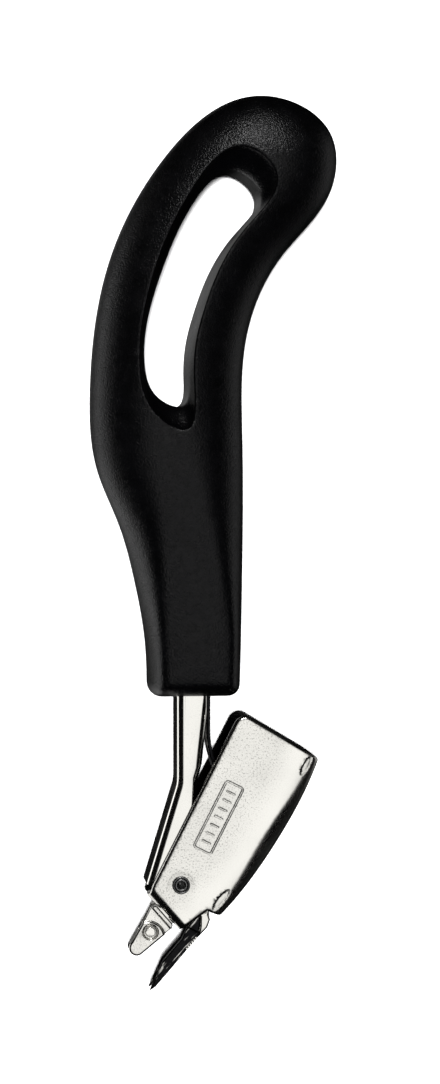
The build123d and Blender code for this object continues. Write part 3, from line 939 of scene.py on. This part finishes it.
def rocker_cover():
    """The head's pressed cover, both skins and its cut edges, near half and far half."""
    cut, seam = blank_outline()
    loop = np.vstack([cut, seam])
    turn = np.linspace(0, 2 * math.pi, 40, endpoint=False)
    bore = RIVET_R * np.column_stack([np.cos(turn), np.sin(turn)])
    rows = [r * bore / RIVET_R for r in RIVET_RINGS]
    extra = cover_points(cut, seam)
    extra = extra[np.hypot(extra[:, 0], extra[:, 1]) > RIVET_ROOM]
    extra = extra[inside(extra, loop) & (distance_open(extra, seam) > SEAM_ROOM)]
    points = np.vstack([loop, bore, *rows, extra])
    n, m = len(loop), len(bore)
    flat, faces, middles = flat_mesh(points, ring_edges(0, n) + ring_edges(n, m))
    keep = inside(middles, loop) & (np.hypot(middles[:, 0], middles[:, 1]) > RIVET_R * 0.995)
    faces = [f for f, k in zip(faces, keep) if k]
    skin, normal = cover_surface(flat)
    away = np.clip(distance_open(flat, cut) / CUT_ROUND, 0, 1)
    rounding = CUT_ROUND * (1 - np.sqrt(1 - (1 - away) ** 2))
    push = pressed_marks(flat)[:, None] * normal
    outer = skin + push - rounding[:, None] * normal
    inner = skin + push - SHEET * normal
    from_back = BACK_R - np.linalg.norm(flat - BACK_CENTRE, axis=1)
    rubbed = 1 - smoothstep(*POLISH_FROM_BACK, from_back)
    worn = 1 - smoothstep(*WORN_FROM_BACK, from_back)
    bm = bmesh.new()
    polish = bm.verts.layers.float.new("polish")
    rough = bm.verts.layers.float.new("worn")
    # Marks the inner faces for painted shade, which darkens their colour
    inner_painted_shade = bm.verts.layers.float.new("inside")
    for side in (1, -1):
        scale = np.array((1, 1, side))
        top = [bm.verts.new(at(*p)) for p in outer * scale]
        low = [bm.verts.new(at(*p)) for p in inner * scale]
        for vert, share, wear in zip(top, rubbed, worn):
            vert[polish] = share
            vert[rough] = wear
        for vert in low:
            vert[inner_painted_shade] = 1.0
        for face in faces:
            bm.faces.new([top[i] for i in face])
            bm.faces.new([low[i] for i in face[::-1]])
        for i in range(len(cut) - 1):
            bm.faces.new((top[i], top[i + 1], low[i + 1], low[i]))
        for i in range(m):
            a, b = n + i, n + (i + 1) % m
            bm.faces.new((top[a], top[b], low[b], low[a]))
    bmesh.ops.remove_doubles(bm, verts=bm.verts, dist=SHEET_WELD_M)
    loose = [v for v in bm.verts if not v.link_faces]
    bmesh.ops.delete(bm, geom=loose, context="VERTS")
    bmesh.ops.recalc_face_normals(bm, faces=bm.faces)
    piece = new_piece("rocker_cover", bm, MATERIALS["cover_steel"], "head", smooth_deg=55.0)
    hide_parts("head_cover")


def bite_teeth():
    """Fine teeth filed across the working edge of both prongs."""
    start, end = np.array(TEETH_FROM), np.array(TEETH_TO)
    along = unit(end - start)
    out = np.array((-along[1], along[0]))
    bm = bmesh.new()
    for low, high in (PRONG_Z, (-PRONG_Z[1], -PRONG_Z[0])):
        for share in np.linspace(0, 1, TEETH):
            foot = start + (end - start) * share
            corners = [foot + along * TOOTH_HALF * u + out * v for u, v in (
                (-1, -TOOTH_PROUD), (1, -TOOTH_PROUD), (1, TOOTH_DEEP), (-1, TOOTH_DEEP))]
            rings = [[bm.verts.new(at(*c, z)) for c in corners] for z in (low, high)]
            bm.faces.new(rings[0][::-1])
            bm.faces.new(rings[1])
            bridge(bm, rings)
    bmesh.ops.recalc_face_normals(bm, faces=bm.faces)
    piece = new_piece("blade_teeth", bm, MATERIALS["plated_steel"], "lever", smooth_deg=30.0)


def leaf_path():
    """The leaf's centre line: straight over the channel, a long bow, then a curled tip."""
    curl_x = BACK_CENTRE[0] + LEAF_BEAR_R * math.cos(math.radians(LEAF_BEAR_DEG))
    curl_y = BACK_CENTRE[1] + LEAF_BEAR_R * math.sin(math.radians(LEAF_BEAR_DEG))
    dx, dy = curl_x - LEAF_X, curl_y - LEAF_BEND_Y
    bow_r = (dx ** 2 + dy ** 2 - LEAF_CURL_R ** 2) / (2 * (dx - LEAF_CURL_R))
    end = math.atan2(dy, dx - bow_r)
    path = [(LEAF_X, y) for y in np.linspace(LEAF_TOP_Y, LEAF_BEND_Y, 20, endpoint=False)]
    for a in np.linspace(-math.pi, end, 40, endpoint=False):
        path.append((LEAF_X + bow_r + bow_r * math.cos(a), LEAF_BEND_Y + bow_r * math.sin(a)))
    for a in np.linspace(end, end + math.radians(LEAF_CURL_DEG), 18):
        path.append((curl_x + LEAF_CURL_R * math.cos(a), curl_y + LEAF_CURL_R * math.sin(a)))
    return np.array(path), (curl_x, curl_y)


def leaf_spring():
    """A blued strip in its rest shape: straight over the lever's channel, bowed, and curled against the
    head.
    """
    path, curl = leaf_path()
    along = np.gradient(path, axis=0)
    along /= np.linalg.norm(along, axis=1)[:, None]
    side = np.column_stack([-along[:, 1], along[:, 0]])
    edge = LEAF_EDGE
    half = LEAF_THICK / 2
    section = [(half - edge, -LEAF_HALF), (half, -LEAF_HALF + edge), (half, LEAF_HALF - edge),
               (half - edge, LEAF_HALF), (edge - half, LEAF_HALF), (-half, LEAF_HALF - edge),
               (-half, -LEAF_HALF + edge), (edge - half, -LEAF_HALF)]
    bm = bmesh.new()
    rows = []
    for p, n in zip(path, side):
        rows.append([bm.verts.new(at(p[0] + n[0] * u, p[1] + n[1] * u, w)) for u, w in section])
    bridge(bm, rows)
    bm.faces.new(rows[0])
    bm.faces.new(rows[-1][::-1])
    bmesh.ops.recalc_face_normals(bm, faces=bm.faces)
    piece = new_piece("leaf_spring", bm, MATERIALS["spring_steel"], None, smooth_deg=30.0)
    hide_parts("return_spring")
    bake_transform(piece)


def lathe(bm, profile, steps):
    """A profile of (radius, z) turned about the pivot axis."""
    rows = []
    for radius, z in profile:
        if radius < 1e-6:
            rows.append([bm.verts.new(at(0, 0, z))])
            continue
        turn = [2 * math.pi * k / steps for k in range(steps)]
        rows.append([bm.verts.new(at(radius * math.cos(a), radius * math.sin(a), z)) for a in turn])
    for a, b in zip(rows, rows[1:]):
        for i in range(steps):
            j = (i + 1) % steps
            corners = [a[i % len(a)], a[j % len(a)], b[j % len(b)], b[i % len(b)]]
            bm.faces.new(list(dict.fromkeys(corners)))


def arc_points(radius, z, wide, tall, first_deg, last_deg, steps):
    """Part of an ellipse for a profile to turn, as (radius, z)."""
    turns = [math.radians(first_deg + (last_deg - first_deg) * k / steps) for k in range(steps + 1)]
    return [(radius + wide * math.cos(a), z + tall * math.sin(a)) for a in turns]


def rivet():
    """Semi-tubular rivet: rolled near end with rings round its bore, plain domed far end."""
    top = PLATE_Z + RIVET_PROUD
    profile = [
        (0, top - BORE_FLOOR_DEEP), (RIVET_BORE_R * BORE_CONE, top - BORE_CONE_DEEP),
        (RIVET_BORE_R, top - BORE_WALL_DEEP), (RIVET_BORE_R, top - BORE_LIP_DEEP),
        *arc_points(RIVET_BORE_R + ROLL_HALF, top - ROLL_DEEP, ROLL_HALF, ROLL_TALL, 180, 0, 8),
        (RIVET_BORE_R + GROOVE_OUT, top - GROOVE_DEEP),
        *arc_points(RIVET_HEAD_R - BRIM_HALF, top - ROLL_DEEP, BRIM_HALF, BRIM_TALL, 170, 0, 8),
        (RIVET_HEAD_R, PLATE_Z + UNDER_HEAD), (RIVET_R, PLATE_Z), (RIVET_R, -PLATE_Z),
        (RIVET_HEAD_R, -PLATE_Z - UNDER_HEAD),
        *arc_points(0, -PLATE_Z - DOME_FOOT, RIVET_HEAD_R, -DOME_TALL, 0, 90, 6),
    ]
    bm = bmesh.new()
    lathe(bm, profile, 48)
    bmesh.ops.remove_doubles(bm, verts=bm.verts, dist=RIVET_WELD_M)
    bmesh.ops.recalc_face_normals(bm, faces=bm.faces)
    piece = new_piece("hollow_rivet", bm, MATERIALS["rivet_steel"], "head", smooth_deg=50.0)
    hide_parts("pivot_rivet")


def metalwork():
    """Every metal piece. The last number of a row is how wide its edges are broken."""
    for name, node, finish, width in (
        ("channel", "shank", "plated_steel", 1.15),
        ("beak", "upper_jaw", "jaw_steel", 0.22),
        ("forked_blade", "fork_blade", "blade_steel", 0.22),
        ("beak_pin", "jaw_pin", "plated_steel", 0.12),
        ("blade_pins", "fork_pins", "plated_steel", 0.12),
        ("spacer_tube", "pivot_spacer", "plated_steel", 0.1),
    ):
        piece = pressed_copy(name, node, MATERIALS[finish], width)
    bite_teeth()
    rocker_cover()
    leaf_spring()
    rivet()


# --- stage ---------------------------------------------------------------------------------

def floor():
    """White paper under the tool, which no gloss shows and which casts no shadow."""
    bm = bmesh.new()
    bmesh.ops.create_grid(bm, x_segments=1, y_segments=1, size=3.0)
    mat, nodes, links, shader = material("floor_paper", (0.9, 0.9, 0.9), 0.8, 0.0)
    shader.inputs["Specular IOR Level"].default_value = 0.2
    mottle = noise(nodes, links, scale=30.0, detail=3.0)
    whites = ((0.9, 0.9, 0.9), (0.92, 0.92, 0.92))
    links.new(ramp(nodes, links, mottle, list(zip(NOISE_SPAN, whites))), shader.inputs["Base Color"])
    piece = new_piece("paper_floor", bm, mat, None)
    piece.visible_glossy = False
    piece.visible_shadow = False


def softbox(name, place, size, power, seen_in_gloss):
    """A round lamp aimed at the origin, which is the middle of the tool's length."""
    light = bpy.data.lights.new(name, "AREA")
    light.shape = "DISK"
    light.size = size
    light.energy = power
    holder = bpy.data.objects.new(name, light)
    bpy.context.scene.collection.objects.link(holder)
    holder.location = place
    holder.rotation_euler = (-Vector(place)).to_track_quat("-Z", "Y").to_euler()
    holder.visible_glossy = seen_in_gloss


def surroundings():
    """A dark studio: a softbox overhead, a low ring of light at the sides, a lit table on the left."""
    world = bpy.data.worlds.new("studio")
    bpy.context.scene.world = world
    world.use_nodes = True
    nodes, links = world.node_tree.nodes, world.node_tree.links
    split = nodes.new("ShaderNodeSeparateXYZ")
    links.new(nodes.new("ShaderNodeTexCoord").outputs["Generated"], split.inputs["Vector"])
    x, y, z = (split.outputs[k] for k in "XYZ")

    def calc(operation, a, b=0.0):
        return math_node(nodes, links, operation, a, b)

    def part(value, span):
        return remap(nodes, links, value, span, (0, 1))

    across = calc("DIVIDE", calc("SUBTRACT", x, BOX_AT[0]), BOX_HALF[0])
    along = calc("DIVIDE", calc("SUBTRACT", y, BOX_AT[1]), BOX_HALF[1])
    away = calc("SQRT", calc("ADD", calc("MULTIPLY", across, across), calc("MULTIPLY", along, along)))
    box = calc("MULTIPLY", part(away, BOX_SOFT[::-1]), calc("GREATER_THAN", z, 0.0))
    ring = calc("MULTIPLY", part(z, RING_Z[:2]), part(z, RING_Z[:1:-1]))
    ring = calc("MULTIPLY", ring, part(calc("ABSOLUTE", y), RING_Y[::-1]))
    ring = calc("MULTIPLY", ring, remap(nodes, links, x, RING_X, (1, RING_RIGHT)))
    table = calc("MULTIPLY", part(z, TABLE_Z[:2]), part(z, TABLE_Z[:1:-1]))
    table = calc("MULTIPLY", table, calc("MULTIPLY", part(x, TABLE_X), part(y, TABLE_Y)))
    under = calc("MULTIPLY", part(z, UNDER_Z), calc("MULTIPLY", part(x, UNDER_X), part(y, UNDER_Y)))
    total = calc("ADD", box, DARK_LEVEL)
    for light, strength in ((ring, RING_LEVEL), (table, TABLE_LEVEL), (under, UNDER_LEVEL)):
        total = calc("ADD", total, calc("MULTIPLY", light, strength))
    links.new(total, nodes["Background"].inputs["Strength"])
    nodes["Background"].inputs["Color"].default_value = (1.0, 1.0, 1.0, 1)


def camera():
    """The view that the photo was taken from."""
    target, eye = at(*LOOK_AT), at(*CAMERA_AT)
    forward = (target - eye).normalized()
    right = forward.cross(Vector((0, 1, 0))).normalized()
    up = right.cross(forward)
    lens = bpy.data.cameras.new("view")
    lens.sensor_width = SENSOR_MM
    lens.lens = SENSOR_MM * (target - eye).length / (FRAME_HEIGHT * MM)
    lens.clip_start = 0.01
    holder = bpy.data.objects.new("view", lens)
    bpy.context.scene.collection.objects.link(holder)
    turn = Matrix((right, up, -forward)).transposed().to_4x4()
    holder.matrix_world = Matrix.Translation(eye) @ turn
    bpy.context.scene.camera = holder


MATERIALS = {
    "grip_plastic": grip_plastic(),
    "plated_steel": plated_steel(
        "plated_steel", rough=0.16, pebble_scale=1500.0, pebble_depth=0.006, speckle=0.95),
    "cover_steel": cover_steel(),
    "jaw_steel": plated_steel(
        "jaw_steel", rough=0.2, pebble_scale=2600.0, pebble_depth=0.03, speckle=0.45),
    "blade_steel": dark_steel("blade_steel", (0.012, 0.012, 0.013), rough=0.3, streak=0.8),
    "spring_steel": dark_steel("spring_steel", (0.02, 0.02, 0.022), rough=0.4, streak_deg=0.0),
    "rivet_steel": dark_steel("rivet_steel", (0.3, 0.3, 0.3), rough=0.34),
}

camera()
floor()
surroundings()
softbox("fill", FILL_AT, FILL_SIZE, FILL_POWER, seen_in_gloss=False)
softbox("lamp", LAMP_AT, LAMP_SIZE, LAMP_POWER, seen_in_gloss=True)
bpy.context.scene.view_settings.view_transform = "Standard"
grip()
metalwork()
